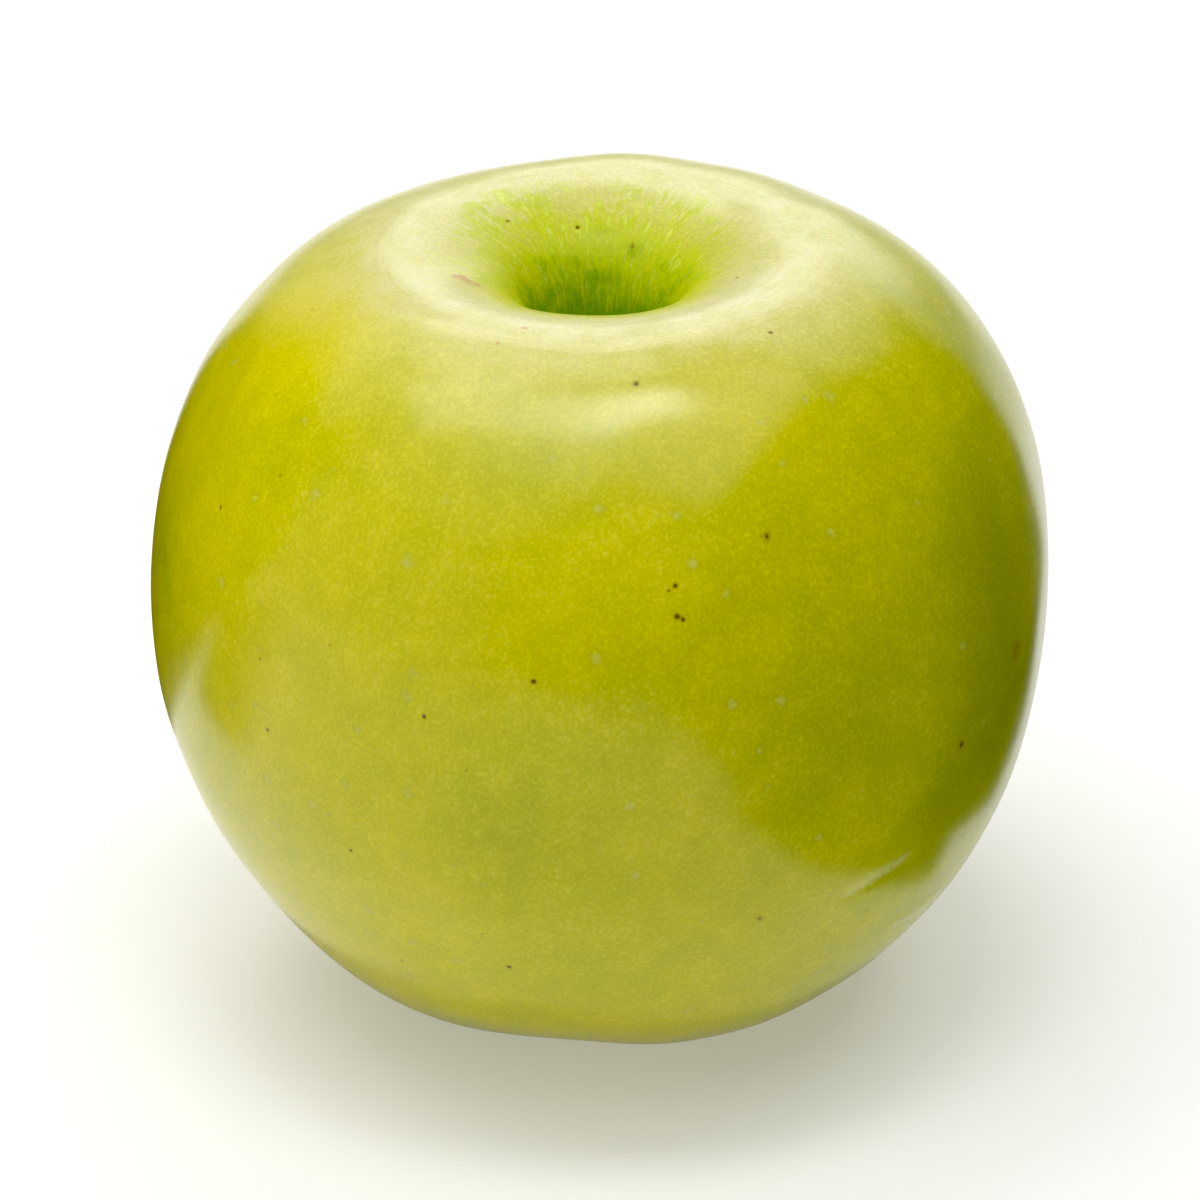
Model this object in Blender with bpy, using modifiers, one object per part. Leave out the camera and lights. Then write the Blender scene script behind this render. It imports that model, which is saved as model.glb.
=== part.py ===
"""A green apple at its real size, standing on the five knobs round its calyx basin.

Run it with: blender --background --python part.py
Units are metres, +Z is up, and the origin is under the middle of the fruit, on the surface it stands on.
The side that the picture shows faces -Y.
"""

import math

import bmesh
import bpy
import numpy as np
from mathutils import Matrix

# Driving dimensions of the fruit
GIRTH = 0.0800
CROWN_HEIGHT = 0.0712
CROWN_RADIUS = 0.0180
LIP_RADIUS = 0.0094
CAVITY_DEPTH = 0.0200
THROAT_RADIUS = 0.0060
FOOT_RADIUS = 0.0142
BASIN_DEPTH = 0.0096

# What makes it grown rather than turned
CARPELS = 5
CARPEL_BEARING = math.radians(-63)
CROWN_SWELL = 0.012
CROWN_KNOLL = 0.00012
BASE_SWELL = 0.004
BASE_KNOB = 0.0006
CROWN_STARTS = 0.55
BASE_ENDS = 0.45
LOPSIDE = 0.00095
LOPSIDE_FADE = 0.25
OVAL = 0.0045
OVAL_BEARING = math.radians(125)

# A side of the fruit that grew pressed against its neighbour
FLAT_BEARING = math.radians(-14)
FLAT_HEIGHT = 0.030
FLAT_REACH = 0.011
FLAT_DEPTH = 0.0005

# The stem stub, broken off short inside the cavity
STEM_RADIUS = 0.0012
STEM_LENGTH = 0.0098
STEM_LEAN = 0.0022
STEM_SIDE_LEAN = 0.0005
STEM_WAIST = 0.12
STEM_FLARE = 0.35
STEM_ROOT = 0.3
STEM_RINGS = 9
SOCKET_DEPTH = 0.0025

# The dried calyx in the basin
CALYX_RADIUS = 0.0024
CALYX_DOME = 0.0016
CALYX_PEG = 0.0018
SEPAL_LENGTH = 0.0046
SEPAL_HALF_WIDTH = 0.0014
SEPAL_TIP = 0.00022
SEPAL_WALL = 0.0007
SEPAL_SEAT = 0.72
SEPAL_START = 0.0002
SEPAL_LEAN = 0.0008
SEPAL_CUP = 0.0004
STAMENS = 9
STAMEN_LENGTH = 0.0026
STAMEN_RADIUS = 0.00035
STAMEN_RING = 0.00062
SEED = 5

GAP = 0.0003
WELD = 0.00001
TURNS = 80
CORE_TURNS = 20
PROFILE_POINTS = 50


def clear_scene():
    for old in list(bpy.data.objects):
        bpy.data.objects.remove(old, do_unlink=True)


def new_collection(name):
    made = bpy.data.collections.new(name)
    bpy.context.scene.collection.children.link(made)
    return made


def material(name, colour, roughness):
    made = bpy.data.materials.new(name)
    made.use_nodes = True
    shader = made.node_tree.nodes["Principled BSDF"]
    shader.inputs["Base Color"].default_value = (*colour, 1)
    shader.inputs["Roughness"].default_value = roughness
    return made


def place(name, mesh, home, finish):
    """Puts a mesh into a collection as one named object with one material."""
    made = bpy.data.objects.new(name, mesh)
    home.objects.link(made)
    made.data.materials.clear()
    made.data.materials.append(finish)
    return made


def applied(obj):
    """The object's mesh with its modifiers applied. The object itself is removed."""
    bpy.context.view_layer.update()
    graph = bpy.context.evaluated_depsgraph_get()
    mesh = bpy.data.meshes.new_from_object(obj.evaluated_get(graph))
    bpy.data.objects.remove(obj, do_unlink=True)
    return mesh


def points_of(mesh):
    flat = np.empty(len(mesh.vertices) * 3, np.float32)
    mesh.vertices.foreach_get("co", flat)
    return flat.reshape(-1, 3).astype(float)


def set_points(mesh, points):
    mesh.vertices.foreach_set("co", points.astype(np.float32).ravel())
    mesh.update()


def turned(name, outline, home, steps):
    """Turns an outline of (radius, height) points, given top to bottom, into a closed body."""
    mesh = bpy.data.meshes.new(name)
    rows = [(radius, 0, height) for radius, height in outline]
    mesh.from_pydata(rows, [(i, i + 1) for i in range(len(rows) - 1)], [])
    obj = bpy.data.objects.new(name, mesh)
    home.objects.link(obj)
    screw = obj.modifiers.new("Turn", "SCREW")
    screw.angle = math.tau
    screw.steps = steps
    screw.render_steps = steps
    screw.use_merge_vertices = True
    screw.merge_threshold = WELD
    return applied(obj)


def spline(cage, count):
    """A uniform cubic B-spline through the ends of its cage, evaluated at evenly spaced parameters."""
    cage = np.array(cage, float)
    padded = np.vstack([2 * cage[:1] - cage[1:2], cage, 2 * cage[-1:] - cage[-2:-1]])
    spans = len(padded) - 3
    u = np.linspace(0, spans, count)
    k = np.minimum(u.astype(int), spans - 1)
    t = (u - k)[:, None]
    return (
        (1 - t) ** 3 * padded[k]
        + (3 * t**3 - 6 * t**2 + 4) * padded[k + 1]
        + (-3 * t**3 + 3 * t**2 + 3 * t + 1) * padded[k + 2]
        + t**3 * padded[k + 3]
    ) / 6


def ease(x):
    x = np.clip(x, 0, 1)
    return x * x * (3 - 2 * x)


def cavity_cage(top):
    """The funnel the stem stands in, from the stem's socket up over the lip to the crown."""
    floor = top - CAVITY_DEPTH
    return [
        (STEM_RADIUS + GAP, floor),
        (0.0032, floor + 0.0012),
        (0.0044, floor + 0.0072),
        (THROAT_RADIUS, floor + 0.0135),
        (LIP_RADIUS, top - 0.0025),
        (CROWN_RADIUS, top - 0.0004),
    ]


def side_cage(half, top):
    """Shoulder, cheek and waist down to the base, as shares of the half girth and the height."""
    return [
        (0.614 * half, top - 0.0019),
        (0.790 * half, 0.896 * top),
        (0.937 * half, 0.774 * top),
        (1.011 * half, 0.595 * top),
        (1.001 * half, 0.392 * top),
        (0.858 * half, 0.206 * top),
        (0.665 * half, 0.071 * top),
        (0.450 * half, 0.0014),
    ]


def basin_cage():
    """The ring the fruit stands on and the basin up to the calyx socket."""
    return [
        (FOOT_RADIUS, -0.0005),
        (0.0100, 0.0018),
        (0.0068, 0.0060),
        (0.0048, BASIN_DEPTH - 0.0006),
        (CALYX_RADIUS + GAP, BASIN_DEPTH),
    ]


def fruit_outline():
    """The half outline of the fruit, with the blind holes that the stem and the calyx stand in."""
    cage = cavity_cage(CROWN_HEIGHT) + side_cage(GIRTH / 2, CROWN_HEIGHT) + basin_cage()
    skin = [tuple(point) for point in spline(cage, PROFILE_POINTS)]
    socket_floor = CROWN_HEIGHT - CAVITY_DEPTH - SOCKET_DEPTH
    stem_hole = [(0, socket_floor), (STEM_RADIUS + GAP, socket_floor)]
    calyx_roof = BASIN_DEPTH + CALYX_PEG + GAP
    calyx_hole = [(CALYX_RADIUS + GAP, calyx_roof), (0, calyx_roof)]
    return stem_hole + skin + calyx_hole


def ring_weight(radius, peak):
    """1 at the given radius, falling smoothly to 0 at the axis and far outside it."""
    share = (radius / peak) ** 2
    return share * np.exp(1 - share)


def grow(points):
    """Moves the points of the turned fruit to where the real one grew.

    Five carpels raise low knolls on the crown and knobs on the base, the right side stands taller
    than the left, the middle is a little oval, and one side is pressed flat. The knobs end level,
    so that the fruit stands on them.
    """
    x, y, z = points.T
    radius = np.hypot(x, y)
    bearing = np.arctan2(y, x)
    half = GIRTH / 2
    level = z / CROWN_HEIGHT
    crown = ease((level - CROWN_STARTS) / (1 - CROWN_STARTS))
    base = ease((BASE_ENDS - level) / BASE_ENDS)
    inside = ease((radius - STEM_RADIUS - GAP) / 0.002)
    carpel = np.cos(CARPELS * (bearing - CARPEL_BEARING))
    oval = OVAL * np.cos(2 * (bearing - OVAL_BEARING))
    swell = 1 + inside * (carpel * (CROWN_SWELL * crown + BASE_SWELL * base) + oval)
    flat_x = half * math.cos(FLAT_BEARING)
    flat_y = half * math.sin(FLAT_BEARING)
    away = (x - flat_x) ** 2 + (y - flat_y) ** 2 + (z - FLAT_HEIGHT) ** 2
    pressed = FLAT_DEPTH * np.exp(-away / FLAT_REACH**2)
    scale = swell - pressed / np.maximum(radius, WELD)
    lift = CROWN_KNOLL * crown * carpel * ring_weight(radius, CROWN_RADIUS)
    drop = BASE_KNOB * base * carpel * ring_weight(radius, FOOT_RADIUS)
    taller = LOPSIDE * (2 * level - 1) * ease(level / LOPSIDE_FADE) * inside * x / half
    height = z + lift - drop + taller
    foot = (radius > 0.6 * FOOT_RADIUS) & (base > 0)
    height = np.where(foot, np.maximum(height, 0), height)
    return np.stack([x * scale, y * scale, height], 1)


def centre_offset(points):
    """How far the middle of the fruit's box lies from the axis it was turned on."""
    low, high = points.min(0), points.max(0)
    return np.array([(low[0] + high[0]) / 2, (low[1] + high[1]) / 2, 0])


def build_fruit(home):
    """Skin and flesh in one body. Returns the shift that centres the fruit over the origin."""
    mesh = turned("fruit", fruit_outline(), home, TURNS)
    grown = grow(points_of(mesh))
    shift = centre_offset(grown)
    set_points(mesh, grown - shift)
    skin = material("green_skin", (0.42, 0.45, 0.03), 0.35)
    fruit = place("fruit", mesh, home, skin)
    fruit.data.shade_smooth()
    return shift


def build_stem(home, shift):
    """A woody stub: a short bent tube that swells a little where it broke."""
    curve = bpy.data.curves.new("stem_path", "CURVE")
    curve.dimensions = "3D"
    curve.bevel_depth = STEM_RADIUS
    curve.bevel_resolution = 3
    curve.use_fill_caps = True
    path = curve.splines.new("POLY")
    path.points.add(STEM_RINGS - 1)
    foot = CROWN_HEIGHT - CAVITY_DEPTH - SOCKET_DEPTH + GAP
    for index, point in enumerate(path.points):
        along = index / (STEM_RINGS - 1)
        free = max(0.0, along - STEM_ROOT)
        height = foot + along * (SOCKET_DEPTH + STEM_LENGTH)
        point.co = (STEM_LEAN * free**2, STEM_SIDE_LEAN * free, height, 1)
        point.radius = 1 - STEM_WAIST * math.sin(math.pi * along) + STEM_FLARE * free**3
    guide = bpy.data.objects.new("stem_guide", curve)
    home.objects.link(guide)
    mesh = applied(guide)
    welding = bmesh.new()
    welding.from_mesh(mesh)
    bmesh.ops.remove_doubles(welding, verts=welding.verts, dist=WELD)
    welding.to_mesh(mesh)
    welding.free()
    bark = material("stem_bark", (0.16, 0.09, 0.03), 0.8)
    stem = place("stem_stub", mesh, home, bark)
    stem.location = -shift
    stem.data.shade_smooth()
    stem.data.set_sharp_from_angle(angle=math.radians(40))


def keep_outer_body(mesh):
    """Drops the small pockets and scraps that a union seals off, and keeps the one large body."""
    body = bmesh.new()
    body.from_mesh(mesh)
    waiting = set(body.verts)
    islands = []
    while waiting:
        island = set()
        edge = [waiting.pop()]
        while edge:
            vert = edge.pop()
            island.add(vert)
            near = {link.other_vert(vert) for link in vert.link_edges} & waiting
            waiting -= near
            edge.extend(near)
        islands.append(island)
    outer = max(islands, key=len)
    extra = [vert for vert in body.verts if vert not in outer]
    bmesh.ops.delete(body, geom=extra, context="VERTS")
    body.to_mesh(mesh)
    body.free()
    return mesh


def calyx_core(home):
    """The plug of the calyx: a peg up into the fruit under a low dome that faces down."""
    arc = [math.radians(degrees) for degrees in (0, 30, 60)]
    dome = [
        (CALYX_RADIUS * math.cos(angle), BASIN_DEPTH - CALYX_DOME * math.sin(angle))
        for angle in arc
    ]
    peg_top = BASIN_DEPTH + CALYX_PEG
    outline = [(0, peg_top), (CALYX_RADIUS, peg_top), *dome, (0, BASIN_DEPTH - CALYX_DOME)]
    return turned("calyx_core", outline, home, CORE_TURNS)


def sepal_mesh(bearing, curl, length):
    """One dried sepal: a pointed blade that leans in over the core and curls back at its tip."""
    blade = bmesh.new()
    bmesh.ops.create_grid(blade, x_segments=4, y_segments=7, size=1)
    mesh = bpy.data.meshes.new("sepal")
    blade.to_mesh(mesh)
    blade.free()
    across, along = (points_of(mesh)[:, :2] * (1, 0.5) + (0, 0.5)).T
    half_width = SEPAL_HALF_WIDTH * (1 - along) ** 0.7 * (1 + 0.4 * along) + SEPAL_TIP
    lean = SEPAL_LEAN * np.sin(math.pi * along * 0.9)
    cup = SEPAL_CUP * across**2 * (1 - along)
    radius = SEPAL_SEAT * CALYX_RADIUS - lean + curl * along**2.5 - cup
    height = BASIN_DEPTH - SEPAL_START - length * along
    points = np.stack([radius, across * half_width, height], 1)
    turn = np.array(Matrix.Rotation(bearing, 3, "Z"))
    set_points(mesh, points @ turn.T)
    return mesh


def stamen_mesh(bearing, lean):
    """One dried stamen: a blunt needle that stands out of the dome and points down."""
    needle = bmesh.new()
    bmesh.ops.create_cone(
        needle,
        cap_ends=True,
        segments=5,
        radius1=STAMEN_RADIUS,
        radius2=0.6 * STAMEN_RADIUS,
        depth=STAMEN_LENGTH,
    )
    sunk = Matrix.Translation((0, 0, -0.28 * STAMEN_LENGTH))
    tilt = Matrix.Rotation(lean, 4, "Y")
    ring = Matrix.Translation((STAMEN_RING, 0, BASIN_DEPTH - 0.5 * CALYX_DOME))
    spin = Matrix.Rotation(bearing, 4, "Z")
    needle.transform(spin @ ring @ tilt @ sunk)
    mesh = bpy.data.meshes.new("stamen")
    needle.to_mesh(mesh)
    needle.free()
    return mesh


def build_calyx(home, helpers, shift):
    """Core, five sepals and a tuft of dried stamens, joined into one body."""
    draw = np.random.default_rng(SEED)
    joined = bpy.data.collections.new("calyx_repeats")
    helpers.children.link(joined)
    dried = material("dried_sepal", (0.13, 0.07, 0.03), 0.9)
    for index in range(CARPELS):
        bearing = CARPEL_BEARING + math.tau * index / CARPELS
        curl = draw.uniform(0.0014, 0.0024)
        mesh = sepal_mesh(bearing, curl, SEPAL_LENGTH * draw.uniform(0.88, 1.05))
        blade = place(f"sepal_{index + 1}", mesh, joined, dried)
        wall = blade.modifiers.new("Wall", "SOLIDIFY")
        wall.thickness = SEPAL_WALL
        wall.offset = 0
        wall.use_even_offset = True
        place(f"sepal_{index + 1}_solid", applied(blade), joined, dried)
    for index in range(STAMENS):
        bearing = math.tau * (index + draw.uniform(-0.2, 0.2)) / STAMENS
        mesh = stamen_mesh(bearing, draw.uniform(0.1, 0.35))
        place(f"stamen_{index + 1}", mesh, joined, dried)
    core = place("calyx_joining", calyx_core(home), home, dried)
    union = core.modifiers.new("Join", "BOOLEAN")
    union.operation = "UNION"
    union.operand_type = "COLLECTION"
    union.collection = joined
    union.solver = "EXACT"
    union.use_self = True
    calyx = place("calyx", keep_outer_body(applied(core)), home, dried)
    calyx.location = -shift
    for repeat in list(joined.objects):
        bpy.data.objects.remove(repeat, do_unlink=True)


def main():
    clear_scene()
    apple = new_collection("green_apple")
    helpers = new_collection("helpers")
    shift = build_fruit(apple)
    build_stem(apple, shift)
    build_calyx(apple, helpers, shift)


main()
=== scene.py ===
# %% [markdown]
# # A green apple, dressed around its measured frame
#
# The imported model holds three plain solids: the fruit, a stub of its stem and the dried calyx in the
# basin underneath. This lesson gives each of them the surface that the real one has. All sizes are
# metres, +Z is up, and the side that the photograph shows faces -Y.

# %% Frame
import math

import bpy
import numpy as np
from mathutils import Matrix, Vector
from mathutils.bvhtree import BVHTree


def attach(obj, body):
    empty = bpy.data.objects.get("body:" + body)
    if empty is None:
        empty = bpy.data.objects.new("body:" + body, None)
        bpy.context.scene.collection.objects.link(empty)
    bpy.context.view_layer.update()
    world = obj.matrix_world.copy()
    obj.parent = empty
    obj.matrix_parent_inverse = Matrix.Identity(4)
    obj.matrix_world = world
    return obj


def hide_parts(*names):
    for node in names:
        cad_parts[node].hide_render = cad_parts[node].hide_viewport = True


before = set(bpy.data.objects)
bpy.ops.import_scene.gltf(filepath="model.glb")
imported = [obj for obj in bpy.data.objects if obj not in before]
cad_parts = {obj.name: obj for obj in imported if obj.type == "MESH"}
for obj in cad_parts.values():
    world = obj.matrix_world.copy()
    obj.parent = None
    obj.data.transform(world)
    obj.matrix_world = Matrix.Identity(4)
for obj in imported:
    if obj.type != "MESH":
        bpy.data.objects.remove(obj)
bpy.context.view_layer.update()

MM = 0.001
scene = bpy.context.scene

# %% [markdown]
# ## How a camera records yellow-green
#
# The skin of a green apple is so deep a yellow-green that it lies outside what a picture file can
# hold: its blue is below nothing, and the file says zero. Only a reflection of something white lifts
# the blue above zero. A colour in Blender can't be below nothing either, so the same clipping is made
# in the view: everything darker than two hundredths of white in blue counts as no blue.

# %% View
BLUE_CLIP = 0.02

view = scene.view_settings
view.view_transform = "Standard"
view.use_curve_mapping = True
view.curve_mapping.black_level = (0.0, 0.0, BLUE_CLIP)
view.curve_mapping.update()
print("view:", view.view_transform, "with blue clipped below", BLUE_CLIP)

# %% [markdown]
# ## The camera
#
# The picture was taken with a long lens, a little from above. Its tilt and distance were found by
# laying the outline of the fruit over the photograph: 26.5 degrees and 55 cm, where the 80 mm wide
# fruit fills 897 of 1200 pixels. The camera comes first, because the marks on the skin are placed
# through it later.

# %% Camera
CAMERA_TILT = math.radians(26.5)
CAMERA_DISTANCE = 0.55
AIM_HEIGHT = 0.0361
PICTURE_PIXELS = 1200
FRUIT_PIXELS = 897
FRUIT_WIDTH = 80 * MM
PICTURE_WIDTH = PICTURE_PIXELS / FRUIT_PIXELS * FRUIT_WIDTH
SENSOR = 36.0

forward = np.array([0, math.cos(CAMERA_TILT), -math.sin(CAMERA_TILT)])
upward = np.array([0, math.sin(CAMERA_TILT), math.cos(CAMERA_TILT)])
eye = np.array([0, 0, AIM_HEIGHT]) - forward * CAMERA_DISTANCE

camera_data = bpy.data.cameras.new("studio_camera")
camera_data.sensor_width = SENSOR
camera_data.lens = SENSOR * CAMERA_DISTANCE / PICTURE_WIDTH
camera_data.clip_start = 0.05
camera_data.clip_end = 20
camera = bpy.data.objects.new("studio_camera", camera_data)
scene.collection.objects.link(camera)
camera.location = Vector(eye)
camera.rotation_euler = (math.pi / 2 - CAMERA_TILT, 0, 0)
scene.camera = camera
print("lens:", round(camera_data.lens, 1), "mm")


def ray_through(across, down):
    """The direction from the camera through a pixel of the photograph, as one long step to the aim plane."""
    right_step = (across - PICTURE_PIXELS / 2) / PICTURE_PIXELS * PICTURE_WIDTH
    up_step = (PICTURE_PIXELS / 2 - down) / PICTURE_PIXELS * PICTURE_WIDTH
    return forward * CAMERA_DISTANCE + np.array([right_step, 0, 0]) + upward * up_step


# %% [markdown]
# ## The shape of the fruit
#
# An apple grows from five carpels round a core, so it is nearly a turned body, with five faint
# swellings, one shoulder higher than the other and a side that lay against its neighbour. The packed
# solid was made from a spline outline that is turned and then moved by formulas. The same outline and
# formulas, with the same values, are worked out here on a much finer grid, so that the finished skin
# lies on the solid and can carry finer relief.

# %% Outline values
GIRTH = 0.0800
CROWN_HEIGHT = 0.0712
CROWN_RADIUS = 0.0180
LIP_RADIUS = 0.0094
CAVITY_DEPTH = 0.0200
THROAT_RADIUS = 0.0060
FOOT_RADIUS = 0.0142
BASIN_DEPTH = 0.0096
STEM_RADIUS = 0.0012
CALYX_RADIUS = 0.0024
GAP = 0.0003

HALF = GIRTH / 2
FUNNEL_FLOOR = CROWN_HEIGHT - CAVITY_DEPTH
CAGE = np.array([
    (STEM_RADIUS + GAP, FUNNEL_FLOOR),
    (0.0032, FUNNEL_FLOOR + 0.0012),
    (0.0044, FUNNEL_FLOOR + 0.0072),
    (THROAT_RADIUS, FUNNEL_FLOOR + 0.0135),
    (LIP_RADIUS, CROWN_HEIGHT - 0.0025),
    (CROWN_RADIUS, CROWN_HEIGHT - 0.0004),
    (0.614 * HALF, CROWN_HEIGHT - 0.0019),
    (0.790 * HALF, 0.896 * CROWN_HEIGHT),
    (0.937 * HALF, 0.774 * CROWN_HEIGHT),
    (1.011 * HALF, 0.595 * CROWN_HEIGHT),
    (1.001 * HALF, 0.392 * CROWN_HEIGHT),
    (0.858 * HALF, 0.206 * CROWN_HEIGHT),
    (0.665 * HALF, 0.071 * CROWN_HEIGHT),
    (0.450 * HALF, 0.0014),
    (FOOT_RADIUS, -0.0005),
    (0.0100, 0.0018),
    (0.0068, 0.0060),
    (0.0048, BASIN_DEPTH - 0.0006),
    (CALYX_RADIUS + GAP, BASIN_DEPTH),
])


def spline(cage, count):
    """Points along a uniform cubic B-spline that starts and ends on its cage's ends."""
    padded = np.vstack([2 * cage[:1] - cage[1:2], cage, 2 * cage[-1:] - cage[-2:-1]])
    spans = len(padded) - 3
    u = np.linspace(0, spans, count)
    k = np.minimum(u.astype(int), spans - 1)
    t = (u - k)[:, None]
    return (
        (1 - t) ** 3 * padded[k]
        + (3 * t**3 - 6 * t**2 + 4) * padded[k + 1]
        + (-3 * t**3 + 3 * t**2 + 3 * t + 1) * padded[k + 2]
        + t**3 * padded[k + 3]
    ) / 6


def evenly(line, count):
    """The same line again with points at equal steps along its length."""
    steps = np.linalg.norm(np.diff(line, axis=0), axis=1)
    length = np.concatenate([[0], np.cumsum(steps)])
    at = np.linspace(0, length[-1], count)
    return np.stack([np.interp(at, length, column) for column in line.T], 1)


# %% Turning the outline
RINGS = 236
COLUMNS = 400
UNDER_STEM = 0.0006
UNDER_CALYX = 0.0008

fine = spline(CAGE, 3000)
pole_top = np.array([(0.0002, FUNNEL_FLOOR - UNDER_STEM), (0.0008, FUNNEL_FLOOR - UNDER_STEM / 2)])
pole_low = np.array([(0.0012, BASIN_DEPTH + UNDER_CALYX / 2), (0.0002, BASIN_DEPTH + UNDER_CALYX)])
outline = evenly(np.vstack([pole_top, fine, pole_low]), RINGS)
bearings = np.linspace(0, math.tau, COLUMNS, endpoint=False)
turned = np.stack([
    outline[:, :1] * np.cos(bearings),
    outline[:, :1] * np.sin(bearings),
    np.repeat(outline[:, 1:], COLUMNS, 1),
], -1)
outline_length = float(np.linalg.norm(np.diff(outline, axis=0), axis=1).sum())
print("skin grid:", turned.shape, "outline", round(outline_length / MM, 1), "mm long")

# %% [markdown]
# ## How the turned fruit grew
#
# Each formula is one habit of a real apple. The carpels swell the crown and the base by about one
# part in a hundred, the right side stands a millimetre taller, the girth is slightly oval, and the
# right flank is flattened where it touched a neighbour. The knobs round the basin end level.

# %% Growth
CARPELS = 5
CARPEL_BEARING = math.radians(-63)
CROWN_SWELL = 0.012
CROWN_KNOLL = 0.00012
BASE_SWELL = 0.004
BASE_KNOB = 0.0006
CROWN_STARTS = 0.55
BASE_ENDS = 0.45
LOPSIDE = 0.00095
LOPSIDE_FADE = 0.25
OVAL = 0.0045
OVAL_BEARING = math.radians(125)
FLAT_BEARING = math.radians(-14)
FLAT_HEIGHT = 0.030
FLAT_REACH = 0.011
FLAT_DEPTH = 0.0005
CORE_FADE = 0.002
FOOT_STARTS = 0.6 * FOOT_RADIUS


def ease(x):
    """0 below 0, 1 above 1, and a smooth step between."""
    x = np.clip(x, 0, 1)
    return x * x * (3 - 2 * x)


def ring_weight(radius, peak):
    """1 at the given radius, falling smoothly to 0 at the axis and far outside it."""
    share = (radius / peak) ** 2
    return share * np.exp(1 - share)


def grow(points):
    """Swells turned points by cosines of the bearing, lifts them in step with x and presses in a bell."""
    x, y, z = np.moveaxis(points, -1, 0)
    radius = np.hypot(x, y)
    bearing = np.arctan2(y, x)
    level = z / CROWN_HEIGHT
    crown = ease((level - CROWN_STARTS) / (1 - CROWN_STARTS))
    base = ease((BASE_ENDS - level) / BASE_ENDS)
    inside = ease((radius - STEM_RADIUS - GAP) / CORE_FADE)
    carpel = np.cos(CARPELS * (bearing - CARPEL_BEARING))
    oval = OVAL * np.cos(2 * (bearing - OVAL_BEARING))
    swell = 1 + inside * (carpel * (CROWN_SWELL * crown + BASE_SWELL * base) + oval)
    flat_x = HALF * math.cos(FLAT_BEARING)
    flat_y = HALF * math.sin(FLAT_BEARING)
    away = (x - flat_x) ** 2 + (y - flat_y) ** 2 + (z - FLAT_HEIGHT) ** 2
    scale = swell - FLAT_DEPTH * np.exp(-away / FLAT_REACH**2) / np.maximum(radius, 0.00001)
    lift = CROWN_KNOLL * crown * carpel * ring_weight(radius, CROWN_RADIUS)
    drop = BASE_KNOB * base * carpel * ring_weight(radius, FOOT_RADIUS)
    taller = LOPSIDE * (2 * level - 1) * ease(level / LOPSIDE_FADE) * inside * x / HALF
    height = z + lift - drop + taller
    foot = (radius > FOOT_STARTS) & (base > 0)
    height = np.where(foot, np.maximum(height, 0), height)
    return np.stack([x * scale, y * scale, height], -1)


grown = grow(turned)
low, high = grown.min((0, 1)), grown.max((0, 1))
shift = np.array([(low[0] + high[0]) / 2, (low[1] + high[1]) / 2, 0])
grown = grown - shift
print("grown fruit:", np.round((high - low) / MM, 2), "mm")

# %% [markdown]
# ## Fine relief
#
# A real skin is never as smooth as a formula. It waves by a tenth of a millimetre from one finger's
# width to the next, which breaks up the edge of every reflection. It also has the marks of this one
# fruit: a crease low on the right, pressed in by a twig or a box, with a ridge beside it, and a small
# healed scar on the right flank. The waves are a sum of cosines with random directions, so they need
# no seam. The marks are placed where the camera's ray through a pixel of the photograph meets the skin.


# %% Grid helpers
def grid_normals(grid):
    """Outward normals of a grid of rings: along the ring crossed with down the outline, made unit length."""
    along = np.roll(grid, -1, 1) - np.roll(grid, 1, 1)
    down = np.gradient(grid, axis=0)
    normal = np.cross(down, along)
    return normal / np.maximum(np.linalg.norm(normal, axis=-1, keepdims=True), 1e-12)


def ring_faces(rings, columns):
    """Four-sided faces that join each ring to the next one, all round, facing outwards."""
    index = np.arange(rings * columns).reshape(rings, columns)
    after = np.roll(index, -1, 1)
    return np.stack([index[:-1], index[1:], after[1:], after[:-1]], -1).reshape(-1, 4)


faces = ring_faces(RINGS, COLUMNS)
tree = BVHTree.FromPolygons(grown.reshape(-1, 3).tolist(), faces.tolist())


def on_skin(across, down):
    """Where the camera's ray through a pixel of the photograph meets the skin."""
    place, _, _, _ = tree.ray_cast(Vector(eye), Vector(ray_through(across, down)))
    return np.array(place)


# %% Relief
WAVE_COUNT = 60
WAVE_LENGTHS = (0.008, 0.026)
WAVE_HEIGHT = 0.00006
CREASE_ENDS = ((838, 902), (916, 851))
CREASE_HALF_WIDTH = 0.0007
CREASE_DEPTH = 0.00016
RIDGE_ENDS = ((886, 928), (944, 886))
RIDGE_HALF_WIDTH = 0.0009
RIDGE_HEIGHT = 0.00012
SCAR_PIXEL = (1018, 650)
SCAR_RADIUS = 0.0011
SCAR_DEPTH = 0.00018
STILL_HEIGHT = 0.004
STILL_RADIUS = 0.003


def waves(points, count, lengths, seed):
    """A smooth random field: a sum of cosines of random direction, length and phase, about 1 high."""
    pick = np.random.default_rng(seed)
    way = pick.normal(size=(count, 3))
    way /= np.linalg.norm(way, axis=1, keepdims=True)
    pitch = math.tau / pick.uniform(*lengths, count)
    phase = pick.uniform(0, math.tau, count)
    total = np.zeros(points.shape[:-1])
    for one_way, one_pitch, one_phase in zip(way, pitch, phase):
        total += np.cos(points @ one_way * one_pitch + one_phase)
    return total * math.sqrt(2 / count)


def along_line(points, start, end, half_width):
    """1 on the line between two points, falling off beside it as a bell and at both ends smoothly."""
    span = end - start
    share = (points - start) @ span / (span @ span)
    nearest = start + np.clip(share, 0, 1)[..., None] * span
    away = np.linalg.norm(points - nearest, axis=-1)
    taper = ease(np.minimum(share, 1 - share) * 3 + 0.4)
    return np.exp(-((away / half_width) ** 2)) * taper


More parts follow.
